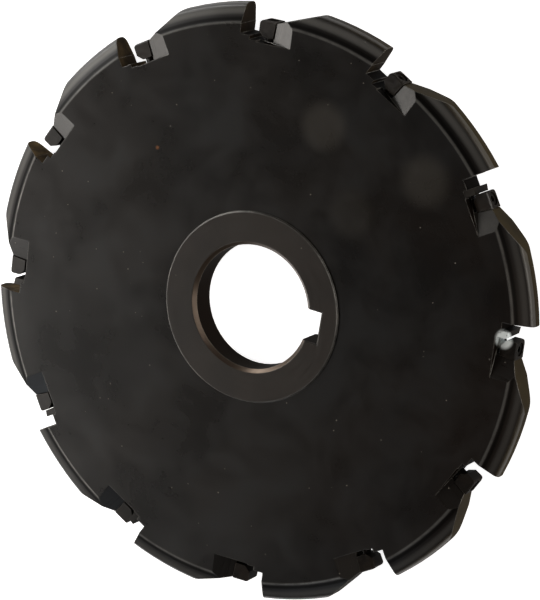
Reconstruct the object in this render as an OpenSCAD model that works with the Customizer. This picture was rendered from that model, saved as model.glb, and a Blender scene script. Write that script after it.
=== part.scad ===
// Inserted-blade disc cutter: a thin arbor-mounted milling body with twelve
// blade pockets round its rim, each closed by its own wedge and wedge screw.
// Spindle axis on +Z, hub back face at z = 0, keyway on +X.

/* [Body] */
// Diameter over the tooth lands
body_d = 244.2; // [236:0.2:256]
// Diameter where the flat front and back faces end and the rim starts to round over
face_d = 228.6; // [226:0.2:232]
// Thickness of the plate between its flat faces
plate_t = 12.2; // [12:0.1:16]
// Radius of the rounding at both corners of the rim
rim_round = 3.4; // [3:0.1:4]

/* [Hub] */
// Diameter of the raised hub ring
hub_d = 78; // [72:0.5:96]
// Height of the hub ring above the front face of the plate
hub_front = 0.9; // [0.4:0.1:2]
// Height of the hub ring below the back face of the plate
hub_back = 0.4; // [0.2:0.1:2]
// Edge break on the hub rings
hub_edge = 0.3; // [0.1:0.1:0.4]

/* [Bore and keyway] */
// Bore diameter, a two inch arbor
bore_d = 50.8; // [50.8:0.01:50.9]
// Chamfer at both ends of the bore
bore_ch = 1.5; // [0.5:0.1:2]
// Keyway width
key_w = 12.95; // [12.7:0.01:13.2]
// Distance from the far wall of the bore to the bottom of the keyway
key_h = 56.67; // [55:0.01:57]
// Edge break along the keyway
key_ch = 0.5; // [0.2:0.1:0.8]

/* [Pockets] */
// Bearing of the first pocket, with the keyway at zero
first = 2.4; // [0:0.1:5]
// Distance of each tooth wall from the line through the axis parallel to it, which sets the radial rake
wall_off = 19.84; // [18:0.01:21]
// Width of the open blade slot beside the tooth wall
slot_w = 4.3; // [3.2:0.1:4.4]
// Height of the blade slot floor above the axis, along the pocket
slot_v = 108.3; // [107.5:0.1:109.5]
// Height of the top of the ground blade seat at the foot of the tooth wall
bearing_v = 112.3; // [111:0.1:112.4]
// Relief of the tooth wall above its blade seat
relief = 0.1; // [0.05:0.01:0.3]
// Height of the wedge pocket floor above the axis, along the pocket
floor_v = 106.7; // [105.5:0.1:107]
// Distance from the tooth wall to the far wall of the wedge pocket, at its mouth
pocket_w = 14.4; // [14.3:0.1:15.5]
// Taper of the far wall of the wedge pocket
taper = 6; // [4:0.5:8]

/* [Chip relief] */
// Height where the outer ramp leaves the wedge pocket
ramp_v = 114.5; // [113.5:0.1:115]
// Climb angle of the outer ramp
ramp_a = 20; // [18:0.5:24]
// Radius where the ramp blends into the land
ramp_round = 12; // [8:1:20]
// Distance from the tooth wall to the clockwise edge of the side facets
facet_w = 22.8; // [21:0.1:25]
// Depth of the front facet beside the wedge
facet_front = 2.7; // [2:0.1:4.5]
// Depth of the back facet beside the wedge
facet_back = 2.7; // [2:0.1:4]
// Height of the inner shoulder of the facets
facet_v = 106.3; // [105.5:0.1:107]

/* [Wedges] */
// Distance from the tooth wall to the near side of the wedge
wedge_u = 7.1; // [6.9:0.05:7.3]
// Clearance between the wedge and the far wall of its pocket
wedge_gap = 0.15; // [0.1:0.01:0.25]
// Height of the underside of the wedge
wedge_v0 = 108.3; // [108:0.1:108.8]
// Height of the outer face of the wedge
wedge_v1 = 115.0; // [114.6:0.05:115.4]
// Bevel on the underside of the wedge nose
wedge_nose = 2.2; // [1.5:0.1:2.6]
// Edge break along the outer face
wedge_edge = 0.5; // [0.2:0.1:1]
// Bevel of the corner beside the blade slot
nose_out = 1.4; // [0.6:0.1:1.8]
// Set-back of the wedge from the flat faces
wedge_back = 2.2; // [0.5:0.1:2.6]

/* [Wedge screws] */
// Diameter of the screw shank
screw_d = 4; // [3.5:0.1:4]
// Diameter of the screw head
head_d = 5.4; // [5:0.1:5.5]
// Height of the screw head
head_h = 2; // [1.6:0.1:2.2]
// Height of the top of the screw head
head_v = 114.4; // [114.2:0.1:114.5]
// Height of the tip of the screw
tip_v = 97; // [96:0.5:100]
// Size of the hexagon socket across its flats
hex_af = 2.5; // [2:0.1:2.5]

/* [Seat plates] */
// Thickness of a seat plate
seat_t = 2.6; // [2.2:0.1:2.6]
// Set-back of the seat plates from the flat faces
seat_back = 0.1; // [0.05:0.05:1]
// Height of the top of a seat plate
seat_v = 111.4; // [110.5:0.1:112]
// Distance from the tooth wall to the plates that lean on their wedge
seat_u = 4.3; // [3.8:0.1:4.3]
// Distance from the tooth wall to the plates that stand in mid slot
seat_u2 = 3.4; // [3:0.1:3.7]

/* [Hidden] */
$fn = 96;

z_back = hub_back;                       // back face of the plate
z_front = hub_back + plate_t;            // front face of the plate
z_top = z_front + hub_front;             // hub front face
z_mid = (z_back + z_front) / 2;
r_face = face_d / 2;
r_land = body_d / 2;
rim_c = r_land - rim_round;              // centre radius of the rim roundings
rim_zf = z_front - 5.6;                  // front rounding centre
rim_zb = z_back + 4.4;                   // back rounding centre
pitch = 30;

// tangent point from a point p to a circle at c of radius r, side s
function tang(p, c, r, s) =
  let (d = norm(c - p), a = atan2(c[1] - p[1], c[0] - p[0]) + s * asin(r / d), l = sqrt(d * d - r * r))
  [p[0] + l * cos(a), p[1] + l * sin(a)];

// pocket plane: u away from the tooth wall, v outward along the pocket
function uv(u, v) = [v, wall_off - u];
// far wall of the wedge pocket at height v
function far(v) = pocket_w - (ramp_v - v) * tan(taper);

// ramp and its blend into the land
rp = [pocket_w, ramp_v];
rd = [cos(ramp_a), sin(ramp_a)];
rn = [-sin(ramp_a), cos(ramp_a)];
rq = rp - ramp_round * rn - [wall_off, 0];
rb = rq * rd;
rs = -rb + sqrt(rb * rb - rq * rq + pow(r_land - ramp_round, 2));
rc = rp - ramp_round * rn + rs * rd;     // blend centre
rl = [wall_off, 0] + (rc - [wall_off, 0]) * r_land / norm(rc - [wall_off, 0]);

module plate() {
  tf = rim_list(z_front, rim_zf);
  tb = rim_list(z_back, rim_zb);
  rotate_extrude($fn = 240)
    polygon(concat([[0, z_back], [r_face, z_back]], tb, [for (i = [len(tf) - 1:-1:0]) tf[i]], [[r_face, z_front], [0, z_front]]));
}

// points from the end of the straight bevel to the land, for the face at z and rounding centre zc
function rim_list(z, zc) =
  let (s = z < zc ? -1 : 1, t = tang([r_face, z], [rim_c, zc], rim_round, s),
       a = atan2(t[1] - zc, t[0] - rim_c))
  [for (i = [0:6]) [rim_c + rim_round * cos(a * (1 - i / 6)), zc + rim_round * sin(a * (1 - i / 6))]];

module hub_profile() {
  polygon([[0, 0], [hub_d / 2 - hub_edge, 0], [hub_d / 2, hub_edge],
           [hub_d / 2, z_top - hub_edge], [hub_d / 2 - hub_edge, z_top], [0, z_top]]);
}

module bore_cut() {
  b = bore_d / 2;
  rotate_extrude()
    polygon([[0, -1], [b + bore_ch + 1, -1], [b, bore_ch], [b, z_top - bore_ch], [b + bore_ch + 1, z_top + 1], [0, z_top + 1]]);
  kx = key_h - b;
  translate([0, -key_w / 2, -1]) cube([kx, key_w, z_top + 2]);
  for (s = [0, 1]) translate([0, 0, s * z_top]) mirror([0, 0, s])
    rotate([90, 0, 90]) linear_extrude(kx + key_ch)
      polygon([[-key_w / 2 - key_ch - 1, -1], [key_w / 2 + key_ch + 1, -1], [key_w / 2, key_ch], [-key_w / 2, key_ch]]);
}

// the blend from the ramp into the land, as a run of narrow flats
function blend() =
  let (a0 = atan2(rn[1], rn[0]), a1 = atan2(rl[1] - rc[1], rl[0] - rc[0]))
  [for (i = [0:5]) let (a = a0 + (a1 - a0) * i / 5) [rc[0] + ramp_round * cos(a), rc[1] + ramp_round * sin(a)]];

// slot, wedge pocket and ramp, cut right through the plate
module pocket_through() {
  b = blend();
  e = b[5] + (b[5] - b[4]) * 3;
  translate([0, 0, -1]) linear_extrude(z_top + 2)
    polygon(concat(
      [uv(0, slot_v), uv(slot_w, slot_v), uv(slot_w, floor_v), uv(far(floor_v), floor_v), uv(pocket_w, ramp_v)],
      [for (p = b) uv(p[0], p[1])],
      [uv(e[0], e[1]), uv(e[0], r_land + 12), uv(-relief, r_land + 12), uv(-relief, bearing_v), uv(0, bearing_v)]));
}

// sloping facet beside the wedge, for a face at z = 0
module facet(depth) {
  k = depth / (facet_w - far(facet_v + 4));
  u0 = slot_w + 3;
  translate([facet_v, 0, 0]) rotate([90, 0, 90]) linear_extrude(30)
    polygon([[wall_off - facet_w - 2 / k, 2], [wall_off - facet_w, 0],
             [wall_off - u0, -(facet_w - u0) * k], [wall_off - u0, 2]]);
}

module screw_hole() {
  translate([tip_v - 1.5, wall_off - screw_u(), z_mid]) rotate([0, 90, 0])
    cylinder(d = screw_d + 0.1, h = floor_v - tip_v + 2.5);
}
function screw_u() = (wedge_u + far(wedge_v0 + 3)) / 2;

module cutter_body() {
  color("dimgray") difference() {
    union() {
      plate();
      rotate_extrude($fn = 180) hub_profile();
    }
    bore_cut();
    for (i = [0:11]) rotate([0, 0, first - pitch * i]) {
      pocket_through();
      intersection() {
        translate([facet_v, wall_off - facet_w - 10, z_mid]) cube([30, facet_w + 10 - slot_w, 20]);
        translate([0, 0, z_front]) facet(facet_front);
      }
      intersection() {
        translate([facet_v, wall_off - facet_w - 10, z_mid - 20]) cube([30, facet_w + 10 - slot_w, 20]);
        translate([0, 0, z_back]) mirror([0, 0, 1]) facet(facet_back);
      }
      screw_hole();
    }
  }
}

module wedge(i) {
  z0 = z_back + wedge_back;
  z1 = z_front - wedge_back;
  color("slategray") rotate([0, 0, first - pitch * i]) difference() {
    intersection() {
      translate([0, 0, z0]) linear_extrude(z1 - z0)
        polygon([uv(wedge_u, wedge_v1 - nose_out), uv(wedge_u + nose_out * 0.13, wedge_v1 - nose_out * 0.5),
                 uv(wedge_u + nose_out * 0.5, wedge_v1 - nose_out * 0.13), uv(wedge_u + nose_out, wedge_v1),
                 uv(far(wedge_v1) - wedge_gap, wedge_v1),
                 uv(far(wedge_v0) - wedge_gap, wedge_v0), uv(wedge_u + wedge_nose, wedge_v0),
                 uv(wedge_u, wedge_v0 + wedge_nose)]);
      translate([0, wall_off + 1, 0]) rotate([90, 0, 0]) linear_extrude(pocket_w + 2)
        polygon([[wedge_v0 - 1, z0], [wedge_v1 - wedge_edge, z0], [wedge_v1, z0 + wedge_edge],
                 [wedge_v1, z1 - wedge_edge], [wedge_v1 - wedge_edge, z1], [wedge_v0 - 1, z1]]);
    }
    translate([wedge_v0 - 1, wall_off - screw_u(), z_mid]) rotate([0, 90, 0])
      cylinder(d = screw_d + 0.2, h = 10);
    translate([head_v - head_h - 0.1, wall_off - screw_u(), z_mid]) rotate([0, 90, 0])
      cylinder(d = head_d + 0.2, h = 5);
  }
}

module wedge_screw(i) {
  color("black") rotate([0, 0, first - pitch * i])
    translate([0, wall_off - screw_u(), z_mid]) rotate([0, 90, 0]) difference() {
      rotate_extrude()
        polygon([[0, tip_v], [screw_d / 2 - 0.5, tip_v], [screw_d / 2, tip_v + 0.5],
                 [screw_d / 2, head_v - head_h], [head_d / 2, head_v - head_h],
                 [head_d / 2, head_v - 0.3], [head_d / 2 - 0.3, head_v], [0, head_v]]);
      translate([0, 0, head_v - 1.3]) cylinder(d = hex_af / cos(30), h = 2, $fn = 6);
    }
}

module seat_plate(i, u) {
  color("gray") rotate([0, 0, first - pitch * i])
    translate([0, 0, z_back + seat_back]) linear_extrude(plate_t - 2 * seat_back)
      polygon(concat(u < slot_w ? [uv(u, slot_v), uv(slot_w, slot_v), uv(slot_w, floor_v)] : [uv(u, floor_v)],
                     [uv(u + seat_t, floor_v), uv(u + seat_t, seat_v - 0.4), uv(u, seat_v)]));
}

module wedge_01() wedge(0);
module wedge_02() wedge(1);
module wedge_03() wedge(2);
module wedge_04() wedge(3);
module wedge_05() wedge(4);
module wedge_06() wedge(5);
module wedge_07() wedge(6);
module wedge_08() wedge(7);
module wedge_09() wedge(8);
module wedge_10() wedge(9);
module wedge_11() wedge(10);
module wedge_12() wedge(11);
module wedge_screw_01() wedge_screw(0);
module wedge_screw_02() wedge_screw(1);
module wedge_screw_03() wedge_screw(2);
module wedge_screw_04() wedge_screw(3);
module wedge_screw_05() wedge_screw(4);
module wedge_screw_06() wedge_screw(5);
module wedge_screw_07() wedge_screw(6);
module wedge_screw_08() wedge_screw(7);
module wedge_screw_09() wedge_screw(8);
module wedge_screw_10() wedge_screw(9);
module wedge_screw_11() wedge_screw(10);
module wedge_screw_12() wedge_screw(11);
module seat_plate_01() seat_plate(0, seat_u2);
module seat_plate_05() seat_plate(4, seat_u);
module seat_plate_06() seat_plate(5, seat_u);
module seat_plate_07() seat_plate(6, seat_u2);
module seat_plate_12() seat_plate(11, seat_u);

cutter_body();
wedge_01();
wedge_02();
wedge_03();
wedge_04();
wedge_05();
wedge_06();
wedge_07();
wedge_08();
wedge_09();
wedge_10();
wedge_11();
wedge_12();
wedge_screw_01();
wedge_screw_02();
wedge_screw_03();
wedge_screw_04();
wedge_screw_05();
wedge_screw_06();
wedge_screw_07();
wedge_screw_08();
wedge_screw_09();
wedge_screw_10();
wedge_screw_11();
wedge_screw_12();
seat_plate_01();
seat_plate_05();
seat_plate_06();
seat_plate_07();
seat_plate_12();
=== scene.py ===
import bpy
import math
from mathutils import Matrix, Vector

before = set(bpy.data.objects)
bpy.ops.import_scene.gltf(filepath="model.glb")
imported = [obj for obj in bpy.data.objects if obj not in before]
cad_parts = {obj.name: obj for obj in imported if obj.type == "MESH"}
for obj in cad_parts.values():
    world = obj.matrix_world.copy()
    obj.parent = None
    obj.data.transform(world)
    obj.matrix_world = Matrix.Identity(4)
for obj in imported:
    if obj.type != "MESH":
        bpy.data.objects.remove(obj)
bpy.context.scene.view_settings.view_transform = "Standard"
bpy.context.scene.view_settings.look = "None"
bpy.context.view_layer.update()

KEY = math.radians(13.2)     # bearing of the keyway, seen from the camera


def at(x, y, h):
    """A point from the camera's own right, down and height, in the part's frame."""
    return Vector((x * math.cos(KEY) + y * math.sin(KEY),
                   x * math.sin(KEY) - y * math.cos(KEY), h))


STAINS = ((0.0183, 0.0801), (0.0653, 0.0700), (0.0362, 0.0488))
WHITE_PATCH = (0.1096, 0.0181)
RUST = (-0.0532, 0.0528)
BRASS = (-0.0685, 0.0840)


# ---------------------------------------------------------------- node helpers
class Net:
    def __init__(self, name):
        self.m = bpy.data.materials.new(name)
        self.m.use_nodes = True
        self.t = self.m.node_tree
        self.t.nodes.clear()
        self.out = self.t.nodes.new("ShaderNodeOutputMaterial")

    def node(self, kind, **props):
        n = self.t.nodes.new(kind)
        for k, v in props.items():
            setattr(n, k, v)
        return n

    def put(self, sock, v):
        if hasattr(v, "is_output"):
            self.t.links.new(v, sock)
        else:
            sock.default_value = v

    def math(self, op, a, b=0.0, c=None, clamp=False):
        n = self.node("ShaderNodeMath", operation=op, use_clamp=clamp)
        self.put(n.inputs[0], a)
        self.put(n.inputs[1], b)
        if c is not None:
            self.put(n.inputs[2], c)
        return n.outputs[0]

    def vec(self, x, y, z):
        n = self.node("ShaderNodeCombineXYZ")
        for s, v in zip(n.inputs, (x, y, z)):
            self.put(s, v)
        return n.outputs[0]

    def noise(self, vector, scale, detail=3.0, rough=0.55, distortion=0.0):
        n = self.node("ShaderNodeTexNoise")
        self.put(n.inputs["Vector"], vector)
        n.inputs["Scale"].default_value = scale
        n.inputs["Detail"].default_value = detail
        n.inputs["Roughness"].default_value = rough
        n.inputs["Distortion"].default_value = distortion
        return n.outputs[0]

    def ramp(self, v, lo, hi, a=0.0, b=1.0, smooth=True):
        n = self.node("ShaderNodeMapRange")
        n.clamp = True
        if smooth:
            n.interpolation_type = "SMOOTHSTEP"
        self.put(n.inputs[0], v)
        for i, x in zip((1, 2, 3, 4), (lo, hi, a, b)):
            self.put(n.inputs[i], x)
        return n.outputs[0]

    def mix(self, f, a, b):
        n = self.node("ShaderNodeMix", data_type="RGBA")
        self.put(n.inputs[0], f)
        self.put(n.inputs[6], (*a, 1.0) if isinstance(a, tuple) else a)
        self.put(n.inputs[7], (*b, 1.0) if isinstance(b, tuple) else b)
        return n.outputs[2]

    def blend(self, f, a, b):
        n = self.node("ShaderNodeMix", data_type="FLOAT")
        self.put(n.inputs[0], f)
        self.put(n.inputs[2], a)
        self.put(n.inputs[3], b)
        return n.outputs[0]


def common(n, bevel):
    """Coordinates, normals and the edge mask that each finish starts from."""
    tc = n.node("ShaderNodeTexCoord")
    obj = tc.outputs["Object"]
    s = n.node("ShaderNodeSeparateXYZ")
    n.put(s.inputs[0], obj)
    x, y, z = s.outputs
    r = n.math("SQRT", n.math("ADD", n.math("MULTIPLY", x, x), n.math("MULTIPLY", y, y)))
    th = n.math("ARCTAN2", y, x)
    g = n.node("ShaderNodeNewGeometry")
    gs = n.node("ShaderNodeSeparateXYZ")
    n.put(gs.inputs[0], g.outputs["Normal"])
    nx, ny, nz = gs.outputs
    nr = n.math("DIVIDE", n.math("ADD", n.math("MULTIPLY", x, nx), n.math("MULTIPLY", y, ny)), r)
    nt = n.math("DIVIDE", n.math("SUBTRACT", n.math("MULTIPLY", x, ny), n.math("MULTIPLY", y, nx)), r)
    bv = n.node("ShaderNodeBevel", samples=6)
    bv.inputs["Radius"].default_value = bevel
    d = n.node("ShaderNodeVectorMath", operation="DOT_PRODUCT")
    n.put(d.inputs[0], bv.outputs[0])
    n.put(d.inputs[1], g.outputs["Normal"])
    edge = n.ramp(d.outputs["Value"], 0.995, 0.86, smooth=False)
    return obj, x, y, z, r, th, nr, nt, nz, bv.outputs[0], edge


def spot(n, x, y, px, py, rad, soft):
    d = n.math("SQRT", n.math("ADD", n.math("POWER", n.math("SUBTRACT", x, px), 2.0),
                              n.math("POWER", n.math("SUBTRACT", y, py), 2.0)))
    return n.ramp(d, rad + soft, rad - soft)


def finish(n, color, rough, metallic, spec, height, dist, normal, dull=None):
    b = n.node("ShaderNodeBump")
    b.inputs["Strength"].default_value = 1.0
    b.inputs["Distance"].default_value = dist
    n.put(b.inputs["Height"], height)
    n.put(b.inputs["Normal"], normal)
    p = n.node("ShaderNodeBsdfPrincipled")
    n.put(p.inputs["Base Color"], color)
    n.put(p.inputs["Roughness"], rough)
    n.put(p.inputs["Metallic"], metallic)
    p.inputs["Specular IOR Level"].default_value = spec
    n.put(p.inputs["Normal"], b.outputs[0])
    if dull is None:
        n.t.links.new(p.outputs[0], n.out.inputs[0])
        return
    # where the oxide is matt and dry the surface has next to no gloss
    q = n.node("ShaderNodeBsdfPrincipled")
    n.put(q.inputs["Base Color"], color)
    n.put(q.inputs["Roughness"], 0.75)
    q.inputs["Specular IOR Level"].default_value = 0.025
    n.put(q.inputs["Normal"], b.outputs[0])
    x = n.node("ShaderNodeMixShader")
    n.put(x.inputs[0], dull)
    n.t.links.new(p.outputs[0], x.inputs[1])
    n.t.links.new(q.outputs[0], x.inputs[2])
    n.t.links.new(x.outputs[0], n.out.inputs[0])


def specks(n, obj, scale, size, keep):
    """Sparse dust specks."""
    v = n.node("ShaderNodeTexVoronoi", feature="F1")
    n.put(v.inputs["Vector"], obj)
    v.inputs["Scale"].default_value = scale
    dot = n.math("LESS_THAN", v.outputs["Distance"], size)
    s = n.node("ShaderNodeSeparateColor")
    n.put(s.inputs[0], v.outputs["Color"])
    pick = n.math("GREATER_THAN", s.outputs[0], keep)
    return n.math("MULTIPLY", dot, pick), s.outputs[1]


def white_patch(n, obj, x, y, z):
    """A white patch over the inner corner of the first pocket."""
    dep = n.math("SUBTRACT", 0.0126, z)
    xs = n.math("ADD", x, n.math("MULTIPLY", dep, 0.4945))
    ys = n.math("ADD", y, n.math("MULTIPLY", dep, 0.3336))
    sn = n.noise(obj, 520.0, 4.0, 0.7, 0.8)
    return n.math("MULTIPLY", n.math("MULTIPLY", spot(n, xs, ys, WHITE_PATCH[0], WHITE_PATCH[1], 0.0036, 0.0009), n.ramp(sn, 0.26, 0.38)), n.math("GREATER_THAN", z, 0.0030))


def body_finish():
    n = Net("black_oxide_steel")
    obj, x, y, z, r, th, nr, nt, nz, bev, edge = common(n, 0.00055)
    # black oxide, with slow brown and blue-grey mottling
    m1 = n.noise(obj, 14.0, 5.0, 0.6, 0.6)
    m2 = n.noise(obj, 38.0, 4.0, 0.6, 0.3)
    m3 = n.noise(obj, 260.0, 3.0, 0.6)
    col = n.mix(n.ramp(m1, 0.35, 0.65), (0.0016, 0.0015, 0.0015), (0.0040, 0.0028, 0.0019))
    col = n.mix(n.math("MULTIPLY", n.ramp(m2, 0.52, 0.72), 0.6), col, (0.0022, 0.0026, 0.0028))
    col = n.mix(n.math("MULTIPLY", n.ramp(m3, 0.55, 0.8), 0.45), col, (0.0062, 0.0053, 0.0045))
    # browner and warmer towards the keyway side
    warm = n.math("MULTIPLY", n.ramp(x, 0.02, 0.12), n.ramp(m1, 0.3, 0.6))
    col = n.mix(n.math("MULTIPLY", warm, 0.5), col, (0.0058, 0.0029, 0.0016))
    # regions
    front = n.math("GREATER_THAN", z, 0.0065)
    facet = n.math("MULTIPLY", n.ramp(n.math("ABSOLUTE", nt), 0.15, 0.25), n.ramp(n.math("ABSOLUTE", nz), 0.75, 0.85))
    land = n.math("MULTIPLY", n.ramp(nr, 0.45, 0.75), n.ramp(r, 0.112, 0.114))
    wall = n.math("MULTIPLY", n.ramp(n.math("ABSOLUTE", nt), 0.85, 0.95), n.ramp(r, 0.100, 0.104))
    bore = n.math("MULTIPLY", n.ramp(r, 0.0330, 0.0325), n.ramp(n.math("ABSOLUTE", nz), 0.5, 0.3))
    hub = n.math("MULTIPLY", n.ramp(r, 0.0392, 0.0389), n.ramp(n.math("ABSOLUTE", nz), 0.6, 0.8))
    # turned rings on the hub and faces, milled lines on the facets
    ring = n.noise(n.vec(n.math("MULTIPLY", r, 1.0), n.math("MULTIPLY", th, 0.0009), 0.0), 2600.0, 2.0, 0.7)
    broad = n.noise(n.vec(n.math("MULTIPLY", r, 1.0), n.math("MULTIPLY", th, 0.004), 0.0), 420.0, 3.0, 0.6)
    arc = n.math("MULTIPLY", th, 0.114)
    lines = n.noise(n.vec(n.math("ADD", arc, n.math("MULTIPLY", r, 0.18)), n.math("MULTIPLY", r, 0.02), 0.0), 1500.0, 3.0, 0.7)
    grain = n.noise(obj, 3200.0, 2.0, 0.6)
    # tooth walls brown to brass, bore brown
    tone = n.noise(obj, 90.0, 3.0, 0.6, 0.5)
    olive = n.mix(n.ramp(tone, 0.35, 0.7), (0.018, 0.012, 0.006), (0.105, 0.070, 0.030))
    brass = n.ramp(x, -0.06, -0.105, 0.12, 1.0)
    olive = n.mix(brass, (0.0075, 0.0050, 0.0030), olive)
    col = n.mix(n.math("MULTIPLY", wall, 0.9), col, olive)
    pb = n.math("MULTIPLY", spot(n, x, y, BRASS[0], BRASS[1], 0.0022, 0.0010), n.ramp(z, 0.0110, 0.0090))
    col = n.mix(pb, col, (0.16, 0.105, 0.045))
    col = n.mix(n.math("MULTIPLY", bore, 0.9), col, (0.0050, 0.0026, 0.0010))
    # painted reflection: the outer lands on the right side tinted warm brown, standing in for a warm surround
    # mirrored there
    outer = n.math("MULTIPLY", n.ramp(nr, 0.45, 0.8), n.ramp(r, 0.112, 0.114))
    right_warm_reflection = n.ramp(n.math("ADD", x, n.math("MULTIPLY", y, 0.25)), 0.02, 0.09, 0.12, 1.0)
    col = n.mix(n.math("MULTIPLY", n.math("MULTIPLY", outer, right_warm_reflection), n.ramp(m2, 0.30, 0.65, 0.5, 1.0)), col, (0.026, 0.0185, 0.0072))
    col = n.mix(n.math("MULTIPLY", facet, n.ramp(lines, 0.3, 0.75, 0.3, 0.6)), col, (0.0085, 0.0082, 0.0078))
    # painted highlight: the facets on the front towards the top made pale grey, where they mirror the lamps
    facet_highlight = n.math("MULTIPLY", facet, n.math("MULTIPLY", n.ramp(n.math("ADD", y, n.math("MULTIPLY", x, 0.3)), 0.045, 0.07), front))
    col = n.mix(n.math("MULTIPLY", facet_highlight, n.ramp(m3, 0.3, 0.7, 0.5, 0.9)), col, (0.034, 0.032, 0.029))
    # faint round oil stains on the front face
    st = n.math("MULTIPLY", n.math("ADD", n.math("ADD",
        spot(n, x, y, STAINS[0][0], STAINS[0][1], 0.0090, 0.0036),
        spot(n, x, y, STAINS[1][0], STAINS[1][1], 0.0092, 0.0044)),
        n.math("MULTIPLY", spot(n, x, y, STAINS[2][0], STAINS[2][1], 0.0090, 0.0035), 0.35)), front)
    col = n.mix(n.math("MULTIPLY", st, 0.75), col, (0.0300, 0.0270, 0.0225))
    col = n.mix(n.math("MULTIPLY", hub, n.ramp(m2, 0.3, 0.7, 0.45, 0.9)), col, (0.0215, 0.0170, 0.0135))
    # dust, a fleck of rust and a white patch by the first pocket
    dust, tint = specks(n, obj, 150.0, 0.050, 0.60)
    dust2, tint2 = specks(n, obj, 310.0, 0.080, 0.93)
    both = n.math("MULTIPLY", n.math("MAXIMUM", n.math("MULTIPLY", dust, n.ramp(tint, 0.0, 1.0, 0.25, 0.9)), dust2), 0.8)
    col = n.mix(both, col, (0.20, 0.18, 0.15))
    rust = n.math("MULTIPLY", spot(n, x, y, RUST[0], RUST[1], 0.0007, 0.0004), front)
    col = n.mix(rust, col, (0.16, 0.06, 0.02))
    white_patch_mask = white_patch(n, obj, x, y, z)
    col = n.mix(white_patch_mask, col, (0.62, 0.66, 0.66))
    # bare steel showing along the edges
    en = n.noise(obj, 170.0, 4.0, 0.7)
    wear = n.math("MULTIPLY", edge, n.ramp(en, 0.36, 0.66, 0.10, 0.75))
    # painted highlight, partly bare-steel wear: a thin light line along the front rim ridge and along the hub lip
    rim_highlight_line = n.ramp(n.math("ABSOLUTE", n.math("SUBTRACT", r, 0.11440)), 0.00085, 0.00010)
    lip_highlight_line = n.ramp(n.math("ABSOLUTE", n.math("SUBTRACT", r, 0.03885)), 0.00040, 0.00015)
    ridge_wear_and_highlight = n.math("MULTIPLY", n.math("MULTIPLY", n.math("MAXIMUM", rim_highlight_line, n.math("MULTIPLY", lip_highlight_line, 1.6)), n.ramp(n.math("ABSOLUTE", nz), 0.5, 0.8)), n.ramp(en, 0.30, 0.62, 0.45, 0.85))
    ridge_wear_and_highlight = n.math("MULTIPLY", ridge_wear_and_highlight, n.math("SUBTRACT", 1.0, facet))
    col = n.mix(ridge_wear_and_highlight, col, (0.120, 0.118, 0.112))
    onrim = n.math("MULTIPLY", n.ramp(n.math("ABSOLUTE", nz), 0.5, 0.8), n.math("SUBTRACT", 1.0, facet))
    # painted shade: a dark band on the rim bevel just outside the ridge
    rim_painted_shade_band = n.math("MULTIPLY", n.ramp(n.math("ABSOLUTE", n.math("SUBTRACT", r, 0.1158)), 0.0012, 0.0002), n.math("MULTIPLY", onrim, 0.72))
    # painted highlight: a soft satin band further out on the rim, lighter towards the top left
    rim_satin_highlight = n.math("MULTIPLY", n.ramp(n.math("ABSOLUTE", n.math("SUBTRACT", r, 0.1190)), 0.0021, 0.0002), onrim)
    lit = n.ramp(n.math("SUBTRACT", y, x), -0.06, 0.09, 0.30, 1.0)
    rim_satin_highlight = n.math("MULTIPLY", rim_satin_highlight, lit)
    col = n.mix(rim_satin_highlight, col, (0.105, 0.102, 0.096))
    col = n.mix(rim_painted_shade_band, col, (0.0012, 0.0010, 0.0009))
    cham = n.math("MULTIPLY", n.ramp(n.math("MULTIPLY", nr, -1.0), 0.35, 0.55), n.math("MULTIPLY", n.ramp(n.math("ABSOLUTE", nz), 0.35, 0.5), n.math("LESS_THAN", r, 0.033)))
    col = n.mix(n.math("MULTIPLY", cham, 0.8), col, (0.13, 0.098, 0.075))
    scuff = n.math("MULTIPLY", n.ramp(n.noise(n.vec(n.math("MULTIPLY", x, 1.0), n.math("MULTIPLY", y, 0.12), z), 900.0, 2.0, 0.7), 0.76, 0.84), 0.12)
    col = n.mix(wear, col, (0.20, 0.19, 0.17))
    col = n.mix(scuff, col, (0.028, 0.025, 0.021))
    rough = n.ramp(m2, 0.3, 0.7, 0.26, 0.33)
    rough = n.math("ADD", rough, n.math("MULTIPLY", n.math("SUBTRACT", ring, 0.5), 0.012))
    rough = n.math("ADD", rough, n.math("MULTIPLY", n.math("SUBTRACT", broad, 0.5), 0.015))
    brim = n.math("MULTIPLY", n.ramp(r, 0.1143, 0.1150), n.math("SUBTRACT", 1.0, facet))
    rough = n.blend(brim, rough, n.ramp(m2, 0.3, 0.7, 0.30, 0.36))
    rough = n.blend(facet, rough, n.ramp(lines, 0.3, 0.7, 0.27, 0.33))
    rough = n.blend(hub, rough, n.ramp(ring, 0.3, 0.7, 0.30, 0.37))
    rough = n.blend(white_patch_mask, rough, 0.8)
    rough = n.blend(both, rough, 0.8)
    flat = n.math("SUBTRACT", 1.0, facet)
    h = n.math("MULTIPLY", n.math("MULTIPLY", ring, flat), 0.03)
    h = n.math("ADD", h, n.math("MULTIPLY", grain, 0.55))
    h = n.math("ADD", h, n.math("MULTIPLY", n.math("MULTIPLY", lines, facet), 0.5))
    h = n.math("ADD", h, n.math("MULTIPLY", m3, 0.8))
    metal = n.math("MAXIMUM", n.math("MULTIPLY", wear, 0.85), n.math("MULTIPLY", ridge_wear_and_highlight, 0.6))
    metal = n.math("MAXIMUM", metal, n.math("MAXIMUM", n.math("MULTIPLY", rim_satin_highlight, 0.45), n.math("MULTIPLY", cham, 0.8)))
    side = n.math("MULTIPLY", n.ramp(n.math("ABSOLUTE", nz), 0.35, 0.15), n.math("SUBTRACT", 1.0, wear))
    rightward = n.ramp(x, 0.0, 0.06, 0.85, 0.97)
    side = n.math("MULTIPLY", side, n.blend(n.ramp(r, 0.1118, 0.1124), 1.0, rightward))
    dull = n.math("MAXIMUM", n.math("MAXIMUM", side, wall), n.math("MAXIMUM", bore, n.math("MULTIPLY", rim_painted_shade_band, 0.85)))
    finish(n, col, rough, metal, 0.42, h, 0.000008, bev, dull)
    return n.m


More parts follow.
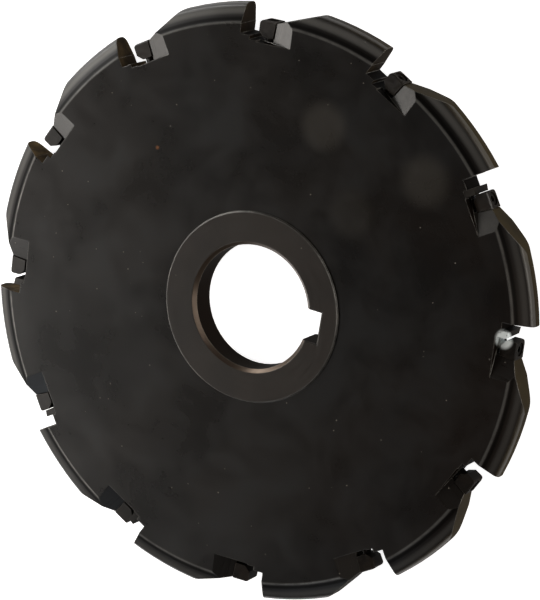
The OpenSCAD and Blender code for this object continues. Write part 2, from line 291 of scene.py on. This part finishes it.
def small_finish(name, a, b, worn, rough0, rough1, spec, bevel, seed):
    n = Net(name)
    obj, x, y, z, r, th, nr, nt, nz, bev, edge = common(n, bevel)
    sh = n.node("ShaderNodeVectorMath", operation="ADD")
    n.put(sh.inputs[0], obj)
    sh.inputs[1].default_value = (seed, seed * 0.37, -seed)
    p = sh.outputs[0]
    m1 = n.noise(p, 70.0, 4.0, 0.6, 0.4)
    m2 = n.noise(p, 620.0, 3.0, 0.65)
    grain = n.noise(p, 3000.0, 2.0, 0.6)
    line = n.noise(n.vec(n.math("MULTIPLY", x, 0.05), n.math("MULTIPLY", y, 0.05), z), 2600.0, 2.0, 0.7)
    col = n.mix(n.ramp(m1, 0.35, 0.68), a, b)
    col = n.mix(n.math("MULTIPLY", n.ramp(m2, 0.5, 0.75), 0.35), col, tuple(1.7 * c for c in b))
    en = n.noise(p, 240.0, 3.0, 0.7)
    wear = n.math("MULTIPLY", edge, n.ramp(en, 0.36, 0.66, 0.08, 0.6))
    col = n.mix(wear, col, worn)
    col = n.mix(white_patch(n, obj, x, y, z), col, (0.62, 0.66, 0.66))
    rough = n.ramp(m2, 0.3, 0.7, rough0, rough1)
    h = n.math("ADD", n.math("MULTIPLY", grain, 0.5), n.math("MULTIPLY", line, 0.9))
    h = n.math("ADD", h, n.math("MULTIPLY", m2, 0.7))
    side = n.math("MULTIPLY", n.ramp(n.math("ABSOLUTE", nz), 0.6, 0.3), n.math("SUBTRACT", 1.0, n.math("MULTIPLY", wear, 0.5)))
    dull = n.math("MAXIMUM", n.math("MULTIPLY", side, 0.94), n.ramp(n.math("SUBTRACT", x, y), 0.02, 0.10, 0.0, 0.75))
    finish(n, col, rough, n.math("MULTIPLY", wear, 0.8), spec, h, 0.000012, bev, dull)
    return n.m



mats = {
    "body": body_finish(),
    "wedge": small_finish("wedge_oxide", (0.0045, 0.0036, 0.0028), (0.0125, 0.0088, 0.0060), (0.14, 0.12, 0.095), 0.30, 0.42, 0.40, 0.00022, 0.0),
    "screw": small_finish("screw_oxide", (0.0030, 0.0027, 0.0024), (0.0075, 0.0058, 0.0045), (0.16, 0.15, 0.13), 0.30, 0.42, 0.45, 0.00012, 0.31),
    "seat": small_finish("seat_oxide", (0.0045, 0.0038, 0.0030), (0.0115, 0.0085, 0.0055), (0.14, 0.12, 0.09), 0.32, 0.44, 0.40, 0.00015, 0.77),
}
for name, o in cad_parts.items():
    key = "screw" if name.startswith("wedge_screw") else "wedge" if name.startswith("wedge") else "seat" if name.startswith("seat") else "body"
    o.data.materials.clear()
    o.data.materials.append(mats[key])

# ---------------------------------------------------------------- floor
n = Net("floor_white")
tc = n.node("ShaderNodeTexCoord")
fn = n.noise(tc.outputs["Object"], 9.0, 4.0, 0.6)
fc = n.mix(fn, (0.90, 0.90, 0.90), (0.94, 0.94, 0.94))
finish(n, fc, 0.9, 0.0, 0.1, n.noise(tc.outputs["Object"], 300.0, 2.0, 0.5), 0.00002, n.node("ShaderNodeNewGeometry").outputs["Normal"])
glow = [k for k in n.t.nodes if k.type == "BSDF_PRINCIPLED"][0]
glow.inputs["Emission Color"].default_value = (1.0, 1.0, 1.0, 1.0)
glow.inputs["Emission Strength"].default_value = 0.92
bpy.ops.mesh.primitive_plane_add(size=14.0, location=(0, 0, -0.0002))
floor = bpy.context.object
floor.name = "floor"
floor.data.materials.append(n.m)

# ---------------------------------------------------------------- lights
world = bpy.data.worlds.new("studio")
bpy.context.scene.world = world
world.use_nodes = True
bg = world.node_tree.nodes["Background"]
bg.inputs[0].default_value = (0.62, 0.46, 0.34, 1.0)
bg.inputs[1].default_value = 0.05


def area(name, pos, target, w, h, radiance, color=(1, 1, 1)):
    d = bpy.data.lights.new(name, "AREA")
    d.shape = "RECTANGLE"
    d.size = w
    d.size_y = h
    d.energy = radiance * math.pi * w * h
    d.color = color
    o = bpy.data.objects.new(name, d)
    bpy.context.collection.objects.link(o)
    o.location = at(*pos)
    o.rotation_euler = (at(*target) - at(*pos)).to_track_quat("-Z", "Y").to_euler()
    return o


area("left_box", (-0.82, 0.13, 0.57), (0.0, 0.0, 0.0), 0.78, 0.32, 7.6, (1.0, 0.955, 0.905))
area("right_bank", (1.30, -0.14, 0.45), (0.0, 0.0, 0.0), 1.8, 0.36, 6.0, (1.0, 0.96, 0.91))
area("window", (-0.42, 0.95, 0.85), (0.0, 0.0, 0.0), 0.4, 0.3, 3.0, (0.85, 0.92, 1.0))
area("ceiling", (0.36, 0.22, 1.15), (0.0, 0.0, 0.0), 0.55, 0.55, 0.50, (1.0, 0.86, 0.74))
area("upper_card", (-0.68, -0.30, 0.74), (0.0, 0.0, 0.0), 0.36, 0.22, 2.0, (1.0, 0.97, 0.92))
area("back_bank", (-1.15, -1.05, 0.42), (0.0, 0.0, 0.0), 1.2, 0.36, 10.0, (1.0, 0.99, 0.97))

# ---------------------------------------------------------------- camera
UNIT = 0.039
EYE = (16.5723, -6.2942, -29.7088)          # right, down and depth behind the front face
RIGHT = (0.87918749, 0.04588155, 0.47426179)
DOWN = (0.04588155, 0.98257534, -0.18011269)
AHEAD = (-0.47426179, 0.18011269, 0.86176283)
e = at(EYE[0] * UNIT, EYE[1] * UNIT, 0.0126 - EYE[2] * UNIT)
rt = at(RIGHT[0], RIGHT[1], -RIGHT[2])
dn = at(DOWN[0], DOWN[1], -DOWN[2])
fw = at(AHEAD[0], AHEAD[1], -AHEAD[2])
cam = bpy.data.cameras.new("camera")
cam.sensor_width = 36.0
cam.sensor_fit = "AUTO"
cam.lens = 3368.7 / 600.0 * 36.0
cam.dof.use_dof = False
cam.clip_start = 0.05
cam.clip_end = 50.0
co = bpy.data.objects.new("camera", cam)
bpy.context.collection.objects.link(co)
co.matrix_world = Matrix((
    (rt.x, -dn.x, -fw.x, e.x),
    (rt.y, -dn.y, -fw.y, e.y),
    (rt.z, -dn.z, -fw.z, e.z),
    (0.0, 0.0, 0.0, 1.0)))
bpy.context.scene.camera = co
